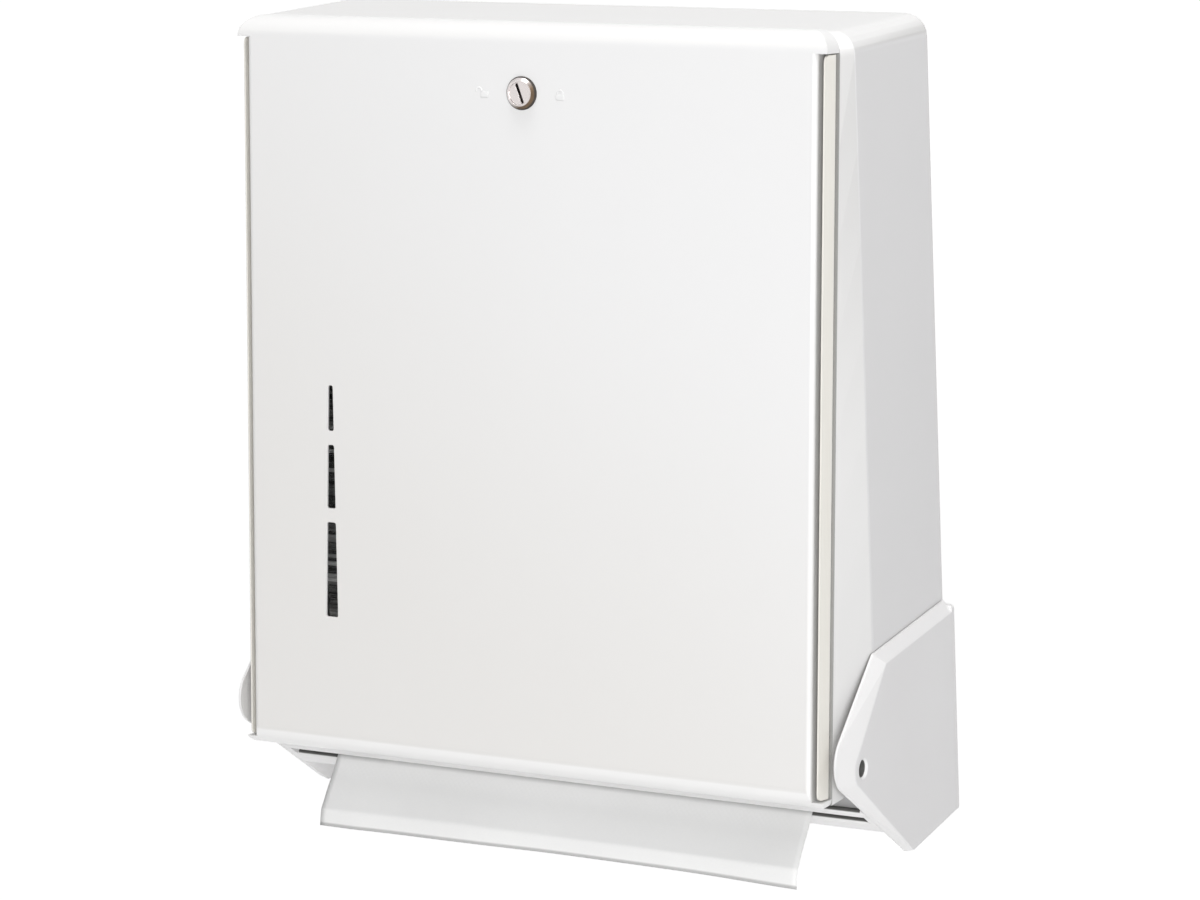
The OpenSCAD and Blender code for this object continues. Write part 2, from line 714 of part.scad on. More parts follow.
// Headed pins from the hinge plates into the cheeks
module hinge_pins() color("silver") both() {
    x0 = seat_x - plate_t;
    x1 = cheek_out - pin_recess;
    translate([x0, pivot_y, pivot_z]) rotate([0, 90, 0]) {
        translate([0, 0, -2]) cylinder(r1 = pin_r + 1.6, r2 = pin_r + 2, h = 2);
        cylinder(r = pin_r, h = x1 - x0 - 0.8);
        translate([0, 0, x1 - x0 - 0.8]) cylinder(r1 = pin_r, r2 = pin_r - 0.8, h = 0.8);
    }
}

module cover_screws() color("silver") both() {
    for (p = hinge_screws) on_front() translate([seat_x - plate_t, p.x, p.y])
        rotate([0, 90, 0]) screw(plate_t + cover_screw_bite);
    on_front() translate([seat_x - brace_t, brace_screw.x, brace_screw.y])
        rotate([0, 90, 0]) screw(brace_t + cover_screw_bite);
}

// Fixed barrel of the cam lock, with its bezel
module lock_housing() color("gainsboro") on_lock() rotate_extrude() difference() {
    union() {
        polygon([[0, -bezel_h], [bezel_face_r, -bezel_h], [bezel_r, -0.5], [bezel_r, 0], [0, 0]]);
        translate([0, -eps]) square([body_r, body_len + eps]);
    }
    translate([-eps, -bezel_h - 1]) square([plug_r + plug_play + eps, body_len + bezel_h + 2]);
}

module lock_washer() color("silver") on_lock() translate([0, 0, pan_t + brace_t]) difference() {
    cylinder(r = bezel_r + 1.4, h = 0.8);
    translate([0, 0, -1]) cylinder(r = body_r + 0.2, h = 3);
}

module lock_nut() color("silver") on_lock() translate([0, 0, pan_t + brace_t + 0.8]) difference() {
    cylinder(r = bezel_r + 2, h = 3.5, $fn = 6);
    translate([0, 0, -1]) cylinder(r = body_r + fit_play, h = 6);
}

// Turning plug with its key slit and the square that carries the cam
tail_side = 5;
slit_w = 1.3;
slit_wall = 0.4;
module lock_plug() color("silver") on_lock() difference() {
    union() {
        translate([0, 0, 0.4 - bezel_h]) cylinder(r = plug_r, h = body_len + bezel_h + 0.1);
        translate([-tail_side / 2, -tail_side / 2, body_len])
            cube([tail_side, tail_side, cam_front + cam_t - body_len]);
    }
    rotate(-key_lean) translate([-slit_w / 2, slit_wall - plug_r, -bezel_h])
        cube([slit_w, 2 * (plug_r - slit_wall), cut]);
    translate([0, 0, body_len - 4]) cylinder(r = 1.25, h = 12);
}

// Cam: at rest it lies level, clear of the keeper; a quarter turn drops it behind the lip
module lock_cam() color("silver") on_lock() translate([0, 0, cam_front]) difference() {
    linear_extrude(cam_t) {
        circle(body_r + 0.5);
        soft_rect([0, -cam_w / 2], [cam_len, cam_w / 2], [0, 3, 3, 0]);
    }
    translate([-tail_side / 2 - fit_play, -tail_side / 2 - fit_play, -1])
        cube([tail_side + 2 * fit_play, tail_side + 2 * fit_play, cam_t + 2]);
}

module cam_screw() color("silver") on_lock() translate([0, 0, cam_front + cam_t]) {
    translate([0, 0, -6]) cylinder(r = 1.2, h = 6 + eps);
    cylinder(r1 = 4.2, r2 = 3.6, h = 2);
}

rear_panel();
left_cheek();
right_cheek();
towel_shelf();
left_guide();
right_guide();
lock_keeper();
keeper_rivets();
cheek_screws();
shelf_screws();
towel_stack();
dispensed_towel();
front_pan();
cover_shell();
left_band();
right_band();
lock_brace();
left_hinge_plate();
right_hinge_plate();
hinge_pins();
cover_screws();
lock_housing();
lock_washer();
lock_nut();
lock_plug();
lock_cam();
cam_screw();
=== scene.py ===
import json

import bmesh
import bpy
import numpy as np
from mathutils import Matrix, Vector


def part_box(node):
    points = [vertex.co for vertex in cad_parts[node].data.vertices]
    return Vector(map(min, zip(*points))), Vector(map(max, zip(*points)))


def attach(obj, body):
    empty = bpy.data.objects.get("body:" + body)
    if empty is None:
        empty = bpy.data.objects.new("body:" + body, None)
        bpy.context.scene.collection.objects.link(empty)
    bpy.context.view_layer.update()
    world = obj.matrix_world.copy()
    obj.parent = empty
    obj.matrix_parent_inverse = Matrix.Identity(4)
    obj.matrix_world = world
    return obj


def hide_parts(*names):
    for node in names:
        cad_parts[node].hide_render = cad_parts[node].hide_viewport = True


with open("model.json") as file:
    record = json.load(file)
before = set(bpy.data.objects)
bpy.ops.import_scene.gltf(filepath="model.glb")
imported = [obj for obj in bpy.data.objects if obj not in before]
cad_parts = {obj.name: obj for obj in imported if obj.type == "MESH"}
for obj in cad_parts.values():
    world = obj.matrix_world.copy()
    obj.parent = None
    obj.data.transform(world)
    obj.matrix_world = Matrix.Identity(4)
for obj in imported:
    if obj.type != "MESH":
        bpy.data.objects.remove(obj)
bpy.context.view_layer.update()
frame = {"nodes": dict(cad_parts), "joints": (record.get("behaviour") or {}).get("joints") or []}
nodes = frame["nodes"]
MM = 0.001

# Wall plate, hinge cheeks, towel shelf and guides
# Injection moulded in white styrene with a fine satin texture. The cheeks and the shelf are
# screwed together on the wall plate, and the guides stand on the shelf's floor.

hinge_at = Vector(frame["joints"][0]["pos_m"])
bore_r = 3.5 * MM
throat_slope, throat_drop = np.radians(36.7), 13 * MM
throat_front, end_plate_t = -76.8 * MM, 2.7 * MM
gauge_side, inner_reach = -91 * MM, 150 * MM
# Reach and strength of the painted shade in narrow gaps, and the colour of painted shade on the white
# mouldings.
gap_reach, gap_strength = 7 * MM, 0.35
shade_dark = (0.06, 0.06, 0.055)


class Wire:
    """A socket of a material. Sums with wires or numbers add Math nodes, and node() adds any other."""

    def __init__(self, tree, socket=None):
        self.tree = tree
        self.socket = socket

    def node(self, kind, settings, sockets, out=0):
        """New node of a kind: its settings first, then the values or wires of its sockets."""
        made = self.tree.nodes.new("ShaderNode" + kind)
        for name, value in settings.items():
            setattr(made, name, value)
        for name, value in sockets.items():
            if isinstance(value, Wire):
                self.tree.links.new(value.socket, made.inputs[name])
            else:
                made.inputs[name].default_value = value
        return Wire(self.tree, made.outputs[out])

    def into(self, shader, label):
        """Joins this wire to a socket of the shader."""
        self.tree.links.new(self.socket, shader.inputs[label])

    def math(self, operation, first, second=0.0):
        """One operation on one or two numbers."""
        return self.node("Math", {"operation": operation}, {0: first, 1: second})

    def vector(self, operation, other=(0, 0, 0), out="Vector"):
        """One operation on this vector and another; out is Value where it gives a number."""
        return self.node("VectorMath", {"operation": operation}, {0: self, 1: other}, out)

    def along(self, way):
        """How far a place lies along X, Y or Z."""
        return self.node("SeparateXYZ", {}, {0: self}, way)

    def __abs__(self):
        return self.math("ABSOLUTE", self)

    def __add__(self, other):
        return self.math("ADD", self, other)

    def __sub__(self, other):
        return self.math("SUBTRACT", self, other)

    def __rsub__(self, other):
        return self.math("SUBTRACT", other, self)

    def __mul__(self, other):
        return self.math("MULTIPLY", self, other)

    def __pow__(self, other):
        return self.math("POWER", self, other)

    __radd__ = __add__
    __rmul__ = __mul__


def start_finish(name, **constants):
    """New material whose shader has these constant values; gives it, its shader and a place wire."""
    made = bpy.data.materials.new(name)
    made.use_nodes = True
    shader = made.node_tree.nodes["Principled BSDF"]
    for label, value in constants.items():
        shader.inputs[label.replace("_", " ")].default_value = value
    place = Wire(made.node_tree).node("TexCoord", {}, {}, "Object")
    return made, shader, place


def cloudy(place, size, detail=2.0):
    """Noise of about 0.5 on average, with patches of the given size in metres."""
    return place.node("TexNoise", {}, {"Vector": place, "Scale": 1 / size, "Detail": detail})


def between(mask, low, high):
    """Colour between two colours, which may be wires, by a mask from 0 to 1."""
    low, high = (c if isinstance(c, Wire) else (*c, 1) for c in (low, high))
    return mask.node("Mix", {"data_type": "RGBA"}, {0: mask, 6: low, 7: high}, 2)


def rising(value, start, end):
    """0 before start, 1 past end, and a smooth step between; a start above the end makes it fall."""
    return value.node("MapRange", {"interpolation_type": "SMOOTHSTEP"},
                      {"Value": value, "From Min": start, "From Max": end})


def larger(one, other):
    """The larger of two masks at each point."""
    return one.math("MAXIMUM", one, other)


def rounded(place, radius):
    """The normal, averaged over a radius, which rounds sharp edges."""
    return place.node("Bevel", {"samples": 6}, {"Radius": radius})


def edge_mask(place, radius):
    """1 near a sharp edge: where the rounded normal leaves the face's own."""
    own_normal = place.node("NewGeometry", {}, {}, "True Normal")
    agree = rounded(place, radius).vector("DOT_PRODUCT", own_normal, "Value")
    return rising(agree, 0.995, 0.85)


def soften(place, shader, radius, height, relief):
    """Rounds sharp edges to a radius and adds a height pattern of the given relief, in metres."""
    bump = place.node("Bump", {}, {"Strength": 1.0, "Distance": relief, "Height": height,
                                   "Normal": rounded(place, radius)})
    bump.into(shader, "Normal")


def open_share(place, reach):
    """Share of the directions in which nothing lies within reach: 1 in the open, near 0 deep in a gap."""
    return place.node("AmbientOcclusion", {"samples": 8}, {"Distance": reach}, "AO")


def painted_gap_shade(place):
    """Painted shade: its full strength deep in a gap that is narrower than the reach, and 0 in the open."""
    return gap_strength * rising(open_share(place, gap_reach), 0.62, 0.12)


def closed_box_shade(place):
    """Painted shade: 1 behind the sight gauge while the closed cover shuts a surface in, and 0 where it is
    open.
    """
    behind_gauge = rising(place.along("X"), gauge_side + 3 * MM, gauge_side - 3 * MM)
    return rising(open_share(place, inner_reach), 0.35, 0.1) * behind_gauge


def beyond(place, half_width):
    """1 on the flat outer sides, past a distance from the middle of the width, and 0 within it."""
    return rising(abs(place.along("X")), half_width - 0.3 * MM, half_width - 0.1 * MM)


def from_hinge(place):
    """The place measured from the hinge line, in metres."""
    return place.vector("SUBTRACT", tuple(hinge_at))


def bore_shade(place):
    """Painted shade: nearly 1 in the bores that the hinge pins turn in, by the distance from the hinge line.
    """
    radius = from_hinge(place).vector("MULTIPLY", (0, 1, 1)).vector("LENGTH", out="Value")
    return 0.95 * rising(radius, bore_r + 0.3 * MM, bore_r + 0.05 * MM)


def throat_shade(place):
    """Painted shade: nearly 1 on the backs of the throat's rounded edges, which lie inside its sloping outer
    face.
    """
    inward_way = (0, np.sin(throat_slope), np.cos(throat_slope))
    inward = from_hinge(place).vector("DOT_PRODUCT", inward_way, "Value") + throat_drop
    near_front = rising(place.along("Y"), throat_front + 0.2 * MM, throat_front - 0.2 * MM)
    inner_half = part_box("towel_shelf")[1].x - end_plate_t
    between_ends = rising(abs(place.along("X")), inner_half + 0.1 * MM, inner_half - 0.1 * MM)
    return 0.93 * rising(inward, 0.3 * MM, 0.8 * MM) * near_front * between_ends


def moulded_white(name, shade_where):
    """White styrene: faint flow clouds and a satin grain, with painted shade that makes the flat outer sides
    greyer and darkens narrow gaps and the places that the second argument marks.
    """
    made, shader, place = start_finish(name, IOR=1.5, Specular_IOR_Level=0.45)
    clouds = cloudy(place, 45 * MM, 3.0)
    grain = cloudy(place, 0.55 * MM)
    face = beyond(place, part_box("right_cheek")[1].x)
    smooth = between(clouds, (0.87, 0.86, 0.86), (0.91, 0.905, 0.905))
    # Painted shade: the flat outer sides greyer.
    side_shade_tone = between(clouds, (0.79, 0.78, 0.785), (0.83, 0.825, 0.83))
    # Painted shade in narrow gaps and where the second argument marks.
    dark = larger(shade_where(place), painted_gap_shade(place))
    between(dark, between(face, smooth, side_shade_tone), shade_dark).into(shader, "Base Color")
    (0.3 + 0.16 * grain + 0.14 * face - 0.1 * edge_mask(place, 0.9 * MM)).into(shader, "Roughness")
    soften(place, shader, 0.5 * MM, grain, 0.012 * MM)
    return made


def dress(material, *names):
    """Gives CAD pieces their material."""
    for name in names:
        for holder in nodes[name].material_slots:
            holder.material = material


# Painted shade in the hinge bores and in narrow gaps.
dress(moulded_white("cheek_white", bore_shade), "left_cheek", "right_cheek")
# Painted shade on the backs of the throat's edges and in narrow gaps.
dress(moulded_white("shelf_white", throat_shade), "towel_shelf")
# Painted shade where the closed cover shuts the panel and guides in, and in narrow gaps.
dress(moulded_white("panel_white", closed_box_shade), "rear_panel", "left_guide", "right_guide")

# Keeper, rivets and screws of the wall side
# Bent and turned from mild steel with a bright zinc plate. The rivets hold the keeper to the
# wall plate, and the screws draw the cheeks and the shelf together.


def stretched(place, x, y, z):
    """The place with its three directions scaled, which draws a pattern out along the smallest."""
    return place.vector("MULTIPLY", (x, y, z))


def zinc_steel():
    """Zinc plate: drawn streaks, fine crystal patches and a rougher, paler bloom."""
    made, shader, place = start_finish("zinc_steel", Metallic=1.0)
    streaks = cloudy(stretched(place, 0.06, 1, 1), 0.9 * MM, 3.0)
    crystals = place.node("TexVoronoi", {}, {"Vector": place, "Scale": 1 / (2.2 * MM)}, "Color")
    patch = place.node("SeparateColor", {}, {0: crystals})
    bloom = rising(cloudy(place, 14 * MM, 4.0), 0.42, 0.72)
    tone = 0.6 * streaks + 0.25 * patch + 0.15 * bloom
    between(tone, (0.50, 0.51, 0.53), (0.78, 0.78, 0.77)).into(shader, "Base Color")
    (0.24 + 0.14 * streaks + 0.16 * bloom).into(shader, "Roughness")
    soften(place, shader, 0.25 * MM, streaks, 0.01 * MM)
    return made


zinc = zinc_steel()
dress(zinc, "lock_keeper", "keeper_rivets", "cheek_screws", "shelf_screws")

# Folded towels
# A refill of interfolded paper towels, each folded in three. They lie a little unevenly in a
# pile on the shelf's floor, on top of the one that is drawn out below.

pile_low, pile_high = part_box("towel_stack")
paper_t = 0.3 * MM
sheet_room = 3 * paper_t + 1.3 * MM
fold_room, side_room = 2.2 * MM, 0.5 * MM
towel_count = 92
layer_fill = 0.86
shift_by, wave_by, sag_by, slide_by = 0.55 * MM, 0.3 * MM, 0.12 * MM, 0.4 * MM
dimple_pitch = 2.6 * MM
# The second colour is the painted shade of paper that the closed cover shuts in.
paper_white, paper_shade_dark = (0.985, 0.985, 0.98), (0.03, 0.03, 0.028)
spread = np.random.default_rng(11)


def grid_faces(rows, columns, closed):
    """Quads of a grid of points, row by row; closed joins each row's last point to its first."""
    across = columns if closed else columns - 1
    row, column = np.meshgrid(np.arange(rows - 1), np.arange(across), indexing="ij")
    here = row * columns + column
    beside = row * columns + (column + 1) % columns
    return np.stack([here, beside, beside + columns, here + columns], -1).reshape(-1, 4)


def mesh_piece(name, points, faces, material, smooth=True):
    """Object at the origin from an array of points and an array of quads, which turn outwards."""
    data = bpy.data.meshes.new(name)
    data.from_pydata(np.asarray(points).reshape(-1, 3), [], np.asarray(faces))
    data.update()
    data.polygons.foreach_set("use_smooth", np.full(len(data.polygons), smooth))
    data.materials.append(material)
    piece = bpy.data.objects.new(name, data)
    bpy.context.scene.collection.objects.link(piece)
    return piece


def mark_paper(piece, flat, shade):
    """Stores each point's place on the flat sheet, in metres, as a map, and its tone as an attribute."""
    corners = np.empty(len(piece.data.loops), dtype=int)
    piece.data.loops.foreach_get("vertex_index", corners)
    sheet_map = piece.data.uv_layers.new(name="flat")
    sheet_map.data.foreach_set("uv", np.asarray(flat).reshape(-1, 2)[corners].ravel())
    tone = piece.data.attributes.new("fold_shade", "FLOAT", "POINT")
    tone.data.foreach_set("value", np.asarray(shade).ravel())


def paper(name, dull):
    """Soft white tissue: pressed dimples, fibres, a tone of its own for each fold, and painted shade where
    the closed cover shuts it in behind the sight gauge.
    """
    made, shader, place = start_finish(name, Roughness=0.92, Specular_IOR_Level=0.2, Sheen_Weight=0.15)
    shade = place.node("Attribute", {"attribute_name": "fold_shade"}, {}, "Fac")
    fibres = cloudy(stretched(place, 0.35, 1, 1), 0.35 * MM, 4.0)
    turn = 2 * np.pi / dimple_pitch
    turns = stretched(place.node("UVMap", {"uv_map": "flat"}, {}), turn, turn, 0)
    dimples = place.math("SINE", turns.along("X")) * place.math("SINE", turns.along("Y"))
    tissue = between(0.9 * shade + 0.1 * fibres, dull, paper_white)
    # Painted shade: darker where the closed cover shuts the paper in, and less so on the lighter sheets.
    between(closed_box_shade(place) * (1 - 0.85 * shade ** 3), tissue, paper_shade_dark).into(shader, "Base Color")
    height = 0.6 * dimples + 0.4 * fibres
    place.node("Bump", {}, {"Distance": 0.02 * MM, "Height": height}).into(shader, "Normal")
    return made


def folded_section(layers, depth, pitch, turns):
    """Middle line of a sheet folded to and fro: straight runs joined by half circles of half a pitch."""
    swing = np.linspace(-np.pi / 2, np.pi / 2, turns)
    bends = []
    for layer in range(layers - 1):
        side = 1 if layer % 2 == 0 else -1
        y = side * (depth / 2 - pitch / 2 + np.cos(swing) * pitch / 2)
        z = (layer + 0.5) * pitch + np.sin(swing) * pitch / 2
        bends.append(np.stack([y, z], -1))
    start = [[-depth / 2, 0.0]]
    end = [[depth / 2 * (1 if layers % 2 else -1), (layers - 1) * pitch]]
    return np.concatenate([start, *bends, end])


def heading(line):
    """Unit vector along a line at each of its points: the difference of its neighbours, scaled to 1."""
    run = np.gradient(line, axis=0)
    return run / np.linalg.norm(run, axis=1, keepdims=True)


def length_along(line):
    """Length of a line from its start to each of its points: the sum of the steps so far."""
    return np.concatenate([[0], np.cumsum(np.linalg.norm(np.diff(line, axis=0), axis=1))])


def ribbon_outline(line, thick):
    """Closed outline of a strip: the line moved to both sides along its own normals."""
    run = heading(line)
    side = np.stack([-run[:, 1], run[:, 0]], -1) * thick / 2
    return np.concatenate([line + side, (line - side)[::-1]])


def towel_pile():
    """Every towel is one folded outline carried across the width, with its own shift, wave and sag."""
    stations = np.linspace(-1, 1, 15)
    pitch = (pile_high.z - pile_low.z - sheet_room) / towel_count
    depth = pile_high.y - pile_low.y - fold_room
    outline = ribbon_outline(folded_section(3, depth, pitch / 3, 5), pitch / 3 * layer_fill)
    number = np.arange(towel_count)[:, None, None]
    x = stations[None, :, None]
    shift, wave, phase, sag = spread.uniform(-1, 1, (4, towel_count, 1, 1))
    y = outline[:, 0][None, None] + shift_by * shift + wave_by * wave * np.sin(5 * x + 3 * phase)
    z = outline[:, 1][None, None] + number * pitch + sag_by * sag * np.cos(2.2 * x + phase)
    ends = x * (pile_high.x - side_room) + slide_by * phase
    middle_y = (pile_low.y + pile_high.y) / 2
    base_z = pile_low.z + sheet_room + pitch / 6
    points = np.stack(np.broadcast_arrays(ends, y + middle_y, z + base_z), -1)
    flat = np.stack(np.broadcast_arrays(ends, length_along(outline)[None, None]), -1)
    return points, pile_faces(len(stations), len(outline)), flat


def pile_faces(rows, ring):
    """Quads of all towels: the skin of one, and two end caps that join the outline's two sides."""
    low = np.arange(ring // 2 - 1)
    cap = np.stack([low, low + 1, ring - 2 - low, ring - 1 - low], -1)
    one = np.concatenate([grid_faces(rows, ring, True), cap, cap[:, ::-1] + (rows - 1) * ring])
    return (one[None] + np.arange(towel_count)[:, None, None] * rows * ring).reshape(-1, 4)


pile_points, pile_quads, pile_flat = towel_pile()
stack = mesh_piece("folded_towels", pile_points, pile_quads, paper("stacked_paper", (0.62, 0.62, 0.61)))
pile_tone = spread.uniform(0, 1, (towel_count, 1, 1))
mark_paper(stack, pile_flat, np.broadcast_to(pile_tone, pile_flat.shape[:3]))
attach(stack, "base")
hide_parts("towel_stack")

# Hanging towel
# The lowest towel: a tissue sheet cut to 233 by 235 mm. Four fifths still lie folded under the
# pile, and the last fifth hangs out through the throat with a crease near its free edge.

sheet_w, sheet_len = 232.6 * MM, 235.2 * MM
floor_z = pile_low.z
back_y = pile_high.y - 3 * MM
throat_y = -76.4 * MM
hang = np.array([[-78.9, -178.2], [-83.6, -182.8], [-87.9, -188.6], [-93.0, -194.3],
                 [-99.6, -202.6], [-100.4, -206.3], [-100.9, -210.0]]) * MM
crease = 4
free_start, free_length = 8 * MM, 28 * MM
# Painted shade on the towel just below the throat, and a painted shade line along its cut edge.
shade_end, shade_length = -182.3 * MM, 2.2 * MM
cut_edge = 1.0 * MM
rows, columns = 260, 81


def even_steps(curve, count):
    """The same curve with its points the same distance apart."""
    run = length_along(curve)
    at = np.linspace(0, run[-1], count)
    return np.stack([np.interp(at, run, curve[:, k]) for k in range(2)], -1)


def smooth_line(corners, count):
    """Catmull-Rom curve through the corners, then stepped evenly along its length."""
    ends = np.concatenate([[2 * corners[0] - corners[1]], corners, [2 * corners[-1] - corners[-2]]])
    t = np.linspace(0, len(corners) - 1, 40 * len(corners))
    i = np.minimum(t.astype(int), len(corners) - 2)
    f = (t - i)[:, None]
    a, b, c, d = ends[i], ends[i + 1], ends[i + 2], ends[i + 3]
    bend = (2 * a - 5 * b + 4 * c - d) * f ** 2 + (3 * b - a - 3 * c + d) * f ** 3
    return even_steps(b + 0.5 * ((c - a) * f + bend), count)


def towel_line():
    """The sheet's section: folded to and fro on the floor, over its front edge and out of the throat."""
    pitch = 2 * paper_t
    front_y = throat_y + 3 * MM
    folds = folded_section(3, back_y - front_y, pitch, 7)
    folds = np.stack([(back_y + front_y) / 2 - folds[:, 0], floor_z + paper_t + 2 * pitch - folds[:, 1]], -1)
    over = np.array([[throat_y + 1.2 * MM, floor_z + 0.3 * paper_t], [throat_y, floor_z - 1.4 * MM]])
    slope, lip = smooth_line(hang[:crease + 1], 60), smooth_line(hang[crease:], 20)
    return even_steps(np.concatenate([folds, over, slope, lip[1:]]), rows)


line = towel_line()


def hanging_sheet():
    """The section carried across the width, with moves that grow from the throat to the free edge.

    Two sines and a curl at the left end ripple it along its normal, both corners are pulled down,
    and the left one is splayed outwards.
    """
    x = np.linspace(-1, 1, columns)[None, :]
    run = heading(line)
    free = np.clip((floor_z - free_start - line[:, 1]) / free_length, 0, 1)[:, None] ** 1.5
    waves = 0.7 * np.sin(4.1 * x + 0.6) + 0.4 * np.sin(9.3 * x + 2.0)
    curl = 1.6 * np.clip(-x - 0.86, 0, 1) / 0.14
    ripple = free * (waves + curl) * MM
    pull = free * np.clip(np.abs(x + 0.05) - 0.3, 0, 1) ** 1.5 * 2.2 * MM
    splay = free * np.clip(-x, 0, 1) ** 4 * 2.0 * MM
    y = line[:, :1] - run[:, 1:] * ripple
    z = line[:, 1:] + run[:, :1] * ripple - pull
    return np.stack(np.broadcast_arrays(x * sheet_w / 2 - splay, y, z), -1)


def sheet_tone(along, across):
    """Tone of the sheet, painted light and shade: white past the crease, darker to the right, dark where it
    leaves the throat and along its cut edge.
    """
    z = line[:, 1:]
    slope_tone = 0.98 - 0.16 * np.clip(across / (sheet_w / 2), 0, 1)
    tail_tone = np.where(z < hang[crease, 1], 1.0, slope_tone)
    out_of_throat = np.clip((shade_end - z) / shade_length, 0.1, 1)
    return np.where(along > sheet_len - cut_edge, 0.0, tail_tone * out_of_throat)


# The duller colour is the painted shade at the throat and along the cut edge.
towel = mesh_piece("hanging_towel", hanging_sheet(), grid_faces(rows, columns, False),
                   paper("tail_paper", (0.55, 0.55, 0.545)))
sheet_along = np.linspace(0, sheet_len, rows)[:, None]
sheet_across = np.linspace(-sheet_w / 2, sheet_w / 2, columns)[None, :]
sheet_flat = np.stack(np.broadcast_arrays(sheet_across, sheet_along), -1)
mark_paper(towel, sheet_flat, sheet_tone(sheet_along, sheet_across))
thick = towel.modifiers.new("thickness", "SOLIDIFY")
thick.thickness = paper_t
thick.offset = 0
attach(towel, "base")
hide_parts("dispensed_towel")

# Steel front
# Sheet steel with rolled head and foot, folded sides and a cut sight gauge, finished in
# white baked enamel that shows a faint orange peel.

lock_joint = frame["joints"][1]
lock_at = Vector(lock_joint["pos_m"])
lock_axis = Vector(lock_joint["axis"]).normalized()
foot_start, foot_full = -130 * MM, -145 * MM
# Colour of the painted shade in narrow gaps and grooves.
gap_shade_grey = (0.12, 0.12, 0.11)


def from_lock(place):
    """The place measured from the middle of the lock, on the plane of the steel front, in metres."""
    return place.vector("SUBTRACT", tuple(lock_at))


def depth_behind_front(place):
    """Distance of a point behind the plane of the steel front, in metres."""
    return from_lock(place).vector("DOT_PRODUCT", tuple(lock_axis), "Value")


def white_enamel():
    """Baked enamel with painted light, brighter towards the upper right, a painted highlight on its rolled
    bends, painted shade in narrow gaps, an orange-peel skin and an uneven gloss.
    """
    made, shader, place = start_finish("white_enamel", Coat_Roughness=0.12, Coat_IOR=1.5, IOR=1.5)
    drift = cloudy(place, 160 * MM, 2.0)
    peel = cloudy(place, 2.4 * MM, 1.0)
    # Painted light: the flat face brighter towards the upper right and darker towards the lower left.
    up_right = place.vector("DOT_PRODUCT", (0.6, 0, 1), "Value")
    up_right_light = rising(up_right + 60 * MM * (drift - 0.5), -170 * MM, 150 * MM)
    face_tone = between(up_right_light, (0.81, 0.797, 0.78), (0.872, 0.87, 0.872))
    depth = depth_behind_front(place)
    # Painted highlight: the rolled bends lighter, and lightest at the top of the foot roll.
    foot_highlight = rising(place.along("Z"), foot_start, foot_full) * rising(depth, 2.0 * MM, 0.6 * MM)
    highlight_tone = between(foot_highlight, (0.89, 0.885, 0.88), (0.94, 0.935, 0.93))
    rolled = rising(depth, 0.02 * MM, 0.3 * MM)
    enamel_tone = between(rolled, face_tone, highlight_tone)
    # Painted shade in narrow gaps.
    between(painted_gap_shade(place), enamel_tone, gap_shade_grey).into(shader, "Base Color")
    (0.36 + 0.1 * cloudy(place, 30 * MM, 3.0)).into(shader, "Roughness")
    (0.25 + 0.2 * drift).into(shader, "Coat Weight")
    soften(place, shader, 0.4 * MM, peel, 0.006 * MM)
    return made


enamel = white_enamel()
dress(enamel, "front_pan")

# Cover shell
# One moulding in cool white plastic with a dull spark-eroded texture: roof, flared sides and
# the front lip that the steel front is seated on.

flare_start, roof_start = -50 * MM, 140 * MM
lip_depth = 11.95 * MM


def shell_white():
    """Dull moulded plastic: a fine grain and slow clouds of tone, with painted shade: greyer flat sides and
    upper flare, and dark on the front lip in the groove and in narrow gaps.
    """
    made, shader, place = start_finish("shell_white", IOR=1.5, Specular_IOR_Level=0.4)
    clouds = cloudy(place, 60 * MM, 3.0)
    grain = cloudy(place, 0.7 * MM, 3.0)
    side = beyond(place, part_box("cover_shell")[1].x)
    z = place.along("Z")
    below_roof = rising(z, roof_start + 3 * MM, roof_start - 3 * MM)
    smooth = between(clouds, (0.865, 0.86, 0.855), (0.89, 0.885, 0.88))
    # Painted shade: greyer up the flare towards the roof.
    upper_flare_shade = between(rising(z, flare_start, roof_start) * below_roof, smooth, (0.70, 0.695, 0.69))
    # Painted shade: the flat outer sides greyer.
    side_shade_tone = between(clouds, (0.768, 0.763, 0.768), (0.798, 0.793, 0.798))
    # Painted shade: the front lip dark in the groove behind the side band.
    lip_edge = rising(depth_behind_front(place), lip_depth + 0.25 * MM, lip_depth)
    shell_shade = larger(0.65 * lip_edge, painted_gap_shade(place))
    between(shell_shade, between(side, upper_flare_shade, side_shade_tone), gap_shade_grey).into(shader, "Base Color")
    (0.44 + 0.14 * grain + 0.06 * side - 0.12 * edge_mask(place, 1.0 * MM)).into(shader, "Roughness")
    soften(place, shader, 0.6 * MM, grain, 0.02 * MM)
    return made


dress(shell_white(), "cover_shell")

# Side bands
# Extruded trims in cream vinyl that fill the notches of the steel front. Each stands on the
# shell's lip, a little behind the front face.


def cream_vinyl():
    """Yellowed vinyl: streaks along its length, a soft gloss, and painted shade in the gaps of the right
    band.
    """
    made, shader, place = start_finish("cream_vinyl", IOR=1.52, Specular_IOR_Level=0.45)
    streaks = cloudy(stretched(place, 1, 1, 0.05), 1.2 * MM, 3.0)
    vinyl = between(streaks, (0.84, 0.815, 0.755), (0.875, 0.855, 0.80))
    # Painted shade in the gaps, on the right band only.
    right_band = rising(place.along("X"), -20 * MM, 20 * MM)
    between(right_band * painted_gap_shade(place), vinyl, gap_shade_grey).into(shader, "Base Color")
    (0.38 + 0.12 * streaks).into(shader, "Roughness")
    soften(place, shader, 0.3 * MM, streaks, 0.008 * MM)
    return made


dress(cream_vinyl(), "left_band", "right_band")

# Stiffener, hinge plates, pins, screws and the inner parts of the lock
# Pressed and turned steel with the same bright zinc plate. The plates and the stiffener are
# screwed to the moulded shell, and the nut and washer hold the lock in the front.

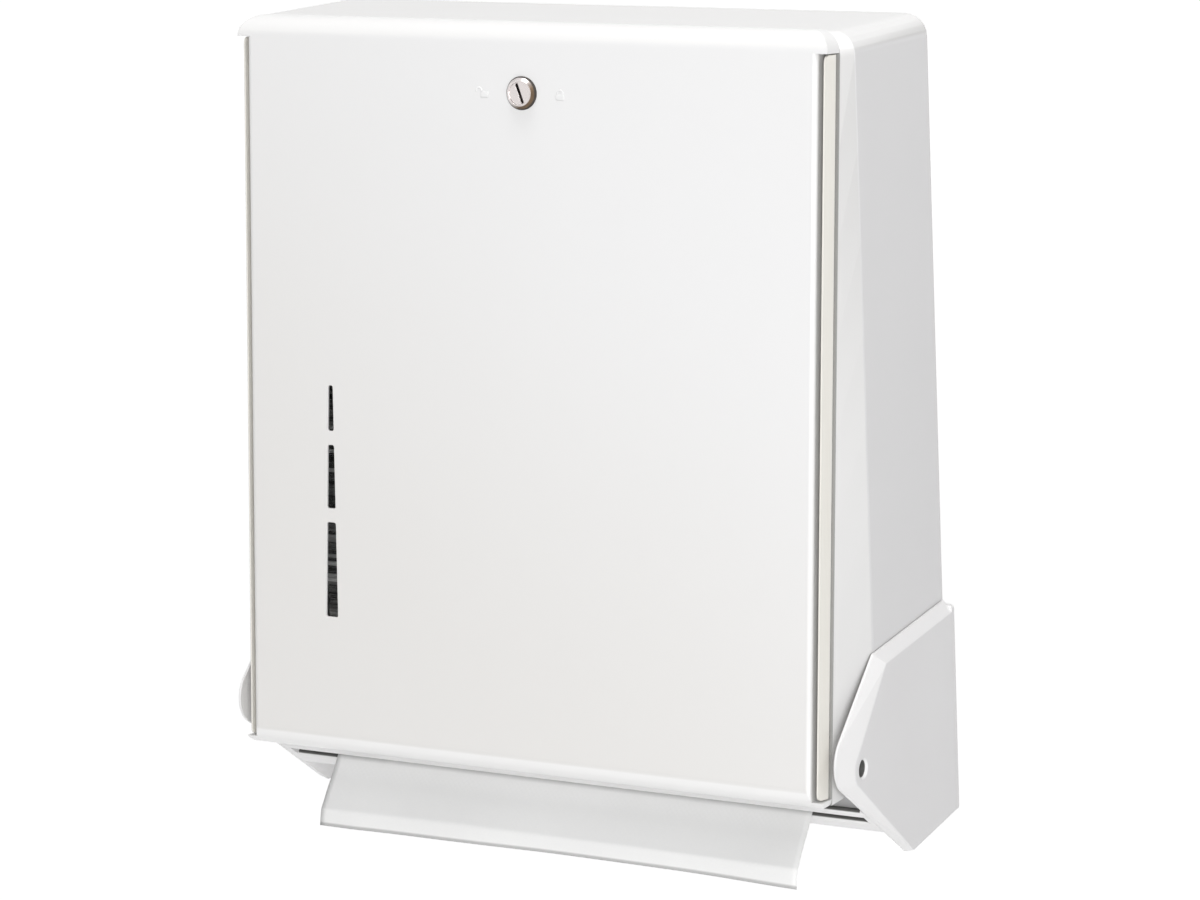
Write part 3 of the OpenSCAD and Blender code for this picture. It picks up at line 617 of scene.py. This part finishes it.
dress(zinc, "lock_brace", "left_hinge_plate", "right_hinge_plate", "hinge_pins", "cover_screws",
      "lock_washer", "lock_nut", "lock_cam", "cam_screw")

# Cam lock
# Turned brass with a nickel plate: bright on the face, with a painted brown reflection low on the right of
# the bezel, and dark at its rim where it meets the steel.

reflection_way = (0.8, 0, -0.6)
bezel_r, rim_dark_r = 5.1 * MM, 6.5 * MM
turning_pitch = 0.35 * MM


def nickel_painted_reflection():
    """Nickel plate with turning marks, whose painted brown reflection and dark rim follow the distance from
    the lock's axis.
    """
    made, shader, place = start_finish("nickel_painted_reflection")
    offset = from_lock(place)
    radius = offset.vector("CROSS_PRODUCT", tuple(lock_axis)).vector("LENGTH", out="Value")
    low_right = offset.vector("DOT_PRODUCT", reflection_way, "Value")
    lock_noise = cloudy(place, 2.5 * MM, 4.0)
    # Painted reflection: brown on the bezel's side, low on the right.
    low_right_share = rising(low_right + 1.5 * MM * lock_noise, -1.0 * MM, 4.0 * MM)
    brown_reflection = rising(radius, bezel_r, bezel_r + 0.5 * MM) * low_right_share
    # Dark at the rim where the lock meets the steel.
    rim_dark = rising(radius + 0.4 * MM * lock_noise, rim_dark_r, rim_dark_r + 0.3 * MM)
    plate = between(brown_reflection, (0.74, 0.69, 0.68), (0.15, 0.105, 0.07))
    between(rim_dark, plate, (0.05, 0.042, 0.036)).into(shader, "Base Color")
    (1 - 0.7 * rim_dark).into(shader, "Metallic")
    (0.2 + 0.12 * lock_noise + 0.12 * brown_reflection + 0.3 * rim_dark).into(shader, "Roughness")
    rings = place.math("SINE", radius * (2 * np.pi / turning_pitch))
    soften(place, shader, 0.2 * MM, rings, 0.003 * MM)
    return made


dress(nickel_painted_reflection(), "lock_housing", "lock_plug")

# Lock marks
# Two small padlock signs pressed up in the enamelled steel beside the lock: open on the left,
# closed on the right.

mark_reach, mark_height = 17.8 * MM, 0.22 * MM
body_line, body_half = np.array([[-2.1, -1.1], [2.1, -1.1]]) * MM, 1.4 * MM
shackle_r, shackle_half = 1.3 * MM, 0.38 * MM
shackle_foot, arch_rise = -0.2 * MM, 0.4 * MM
rib_steps, rib_sides = 41, 16


def raised_rib(path, half_width):
    """Oval section carried along a path on the front face, drawn in to a point at both ends."""
    taper = (1 - np.linspace(-1, 1, rib_steps)[:, None] ** 4) ** 0.25
    run = heading(path)
    turn = np.linspace(0, 2 * np.pi, rib_sides, endpoint=False)[None, :]
    side = half_width * taper * np.cos(turn)
    across = path[:, :1] - run[:, 1:] * side
    along = path[:, 1:] + run[:, :1] * side
    out = mark_height * taper * np.sin(turn)
    ways = np.array([[1, 0, 0], [0, -lock_axis.z, lock_axis.y], -lock_axis])
    return np.array(lock_at) + np.stack([across, along, out], -1) @ ways


def padlock_mark(name, at, shackle_shift):
    """A short broad rib for the lock's body, and a thin one bent round for its shackle."""
    swing = np.linspace(np.pi, 0, 13)
    arch = np.stack([np.cos(swing), np.sin(swing)], -1) * shackle_r + [0, arch_rise]
    legs = np.array([[-shackle_r, shackle_foot], [shackle_r, shackle_foot]])
    shackle = even_steps(np.concatenate([legs[:1], arch, legs[1:]]), rib_steps)
    body = raised_rib(even_steps(body_line, rib_steps) + [at, 0], body_half)
    bow = raised_rib(shackle + [at + shackle_shift, 0], shackle_half)
    quads = grid_faces(rib_steps, rib_sides, True)
    both = np.concatenate([quads, quads + rib_steps * rib_sides])
    mark = mesh_piece(name, np.stack([body, bow]), both, enamel)
    weld = bmesh.new()
    weld.from_mesh(mark.data)
    bmesh.ops.remove_doubles(weld, verts=weld.verts, dist=0.0001 * MM)
    bmesh.ops.recalc_face_normals(weld, faces=weld.faces)
    weld.to_mesh(mark.data)
    weld.free()
    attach(mark, "cover")


padlock_mark("open_mark", -mark_reach, -2 * shackle_r)
padlock_mark("closed_mark", mark_reach, 0)

# Camera
# A long lens to the right of the dispenser and a little above it, slightly rolled.

view_turn, view_rise, view_roll = np.radians([28.0, 14.0183, -2.7115])
view_target = Vector((10.618, -60.0, -39.09)) * MM
view_distance = 1798.525 * MM
frame_w_px, focal_px = 1200, 4188.67


def direction(turn, rise):
    """Unit vector away from the object: turn goes from the front to the right, and rise goes up."""
    return Vector((np.sin(turn) * np.cos(rise), -np.cos(turn) * np.cos(rise), np.sin(rise)))


back = direction(view_turn, view_rise)
level = Vector((np.cos(view_turn), np.sin(view_turn), 0))
upright = back.cross(level)
right = level * np.cos(view_roll) + upright * np.sin(view_roll)
up = upright * np.cos(view_roll) - level * np.sin(view_roll)
facing = Matrix((right, up, back)).transposed().to_4x4()
lens = bpy.data.cameras.new("camera")
lens.sensor_width = 36.0
lens.lens = focal_px / frame_w_px * lens.sensor_width
camera = bpy.data.objects.new("camera", lens)
camera.matrix_world = Matrix.Translation(view_target + back * view_distance) @ facing
bpy.context.scene.collection.objects.link(camera)
bpy.context.scene.camera = camera

# Floor, lamps and sky
# A wide pale floor below the dispenser, a broad soft box behind the camera, weaker lamps above
# and on the right, and an even sky.

floor_drop, floor_half = 0.7, 30.0
near_lift, far_lift, far_away = 0.58, 0.82, 4.6
sky_level, sky_seen = 0.25, 1.0


def seen_directly(wire):
    """1 for what the camera sees straight, in a mirror or through glass, and 0 for light that bounces."""
    ways = [wire.node("LightPath", {}, {}, f"Is {way} Ray") for way in ("Camera", "Glossy", "Transmission")]
    return larger(ways[0], larger(ways[1], ways[2]))


def pale_floor():
    """Matt white floor that takes the object's shadow; its own glow, seen directly, grows with distance."""
    made, shader, place = start_finish("pale_floor", Roughness=0.9, Specular_IOR_Level=0.0,
                                       Emission_Strength=far_lift)
    between(cloudy(place, 0.8, 2.0), (0.86, 0.86, 0.86), (0.88, 0.88, 0.88)).into(shader, "Base Color")
    near_share = near_lift / far_lift
    lift = near_share + (1 - near_share) * rising(place.vector("LENGTH", out="Value"), floor_drop, far_away)
    between(seen_directly(place) * lift, (0, 0, 0), (1, 1, 1)).into(shader, "Emission Color")
    return made


corner = np.array([[-1, -1], [1, -1], [1, 1], [-1, 1]]) * floor_half
level_floor = np.column_stack([corner, np.full(4, -floor_drop)])
ground = mesh_piece("ground", level_floor, [[0, 1, 2, 3]], pale_floor(), False)


def lamp(name, turn, rise, distance, size, watts):
    """Round lamp on a sphere round the object, facing its middle; turn and rise are in degrees."""
    data = bpy.data.lights.new(name, "AREA")
    data.shape = "DISK"
    data.size = size
    data.energy = watts
    away = direction(*np.radians([turn, rise]))
    towards_object = away.to_track_quat("Z", "Y").to_matrix().to_4x4()
    made = bpy.data.objects.new(name, data)
    made.matrix_world = Matrix.Translation(away * distance) @ towards_object
    made.visible_camera = False
    bpy.context.scene.collection.objects.link(made)


lamp("soft_box", turn=28, rise=13, distance=2.8, size=1.6, watts=46)
lamp("top_lamp", turn=0, rise=84, distance=2.2, size=1.0, watts=21)
lamp("side_lamp", turn=90, rise=35, distance=1.4, size=0.8, watts=3.6)

sky = bpy.data.worlds.new("sky")
sky.use_nodes = True
bpy.context.scene.world = sky
haze = sky.node_tree.nodes["Background"]
haze.inputs["Color"].default_value = (1, 1, 1, 1)
(sky_level + (sky_seen - sky_level) * seen_directly(Wire(sky.node_tree))).into(haze, "Strength")
bpy.context.scene.view_settings.view_transform = "Standard"
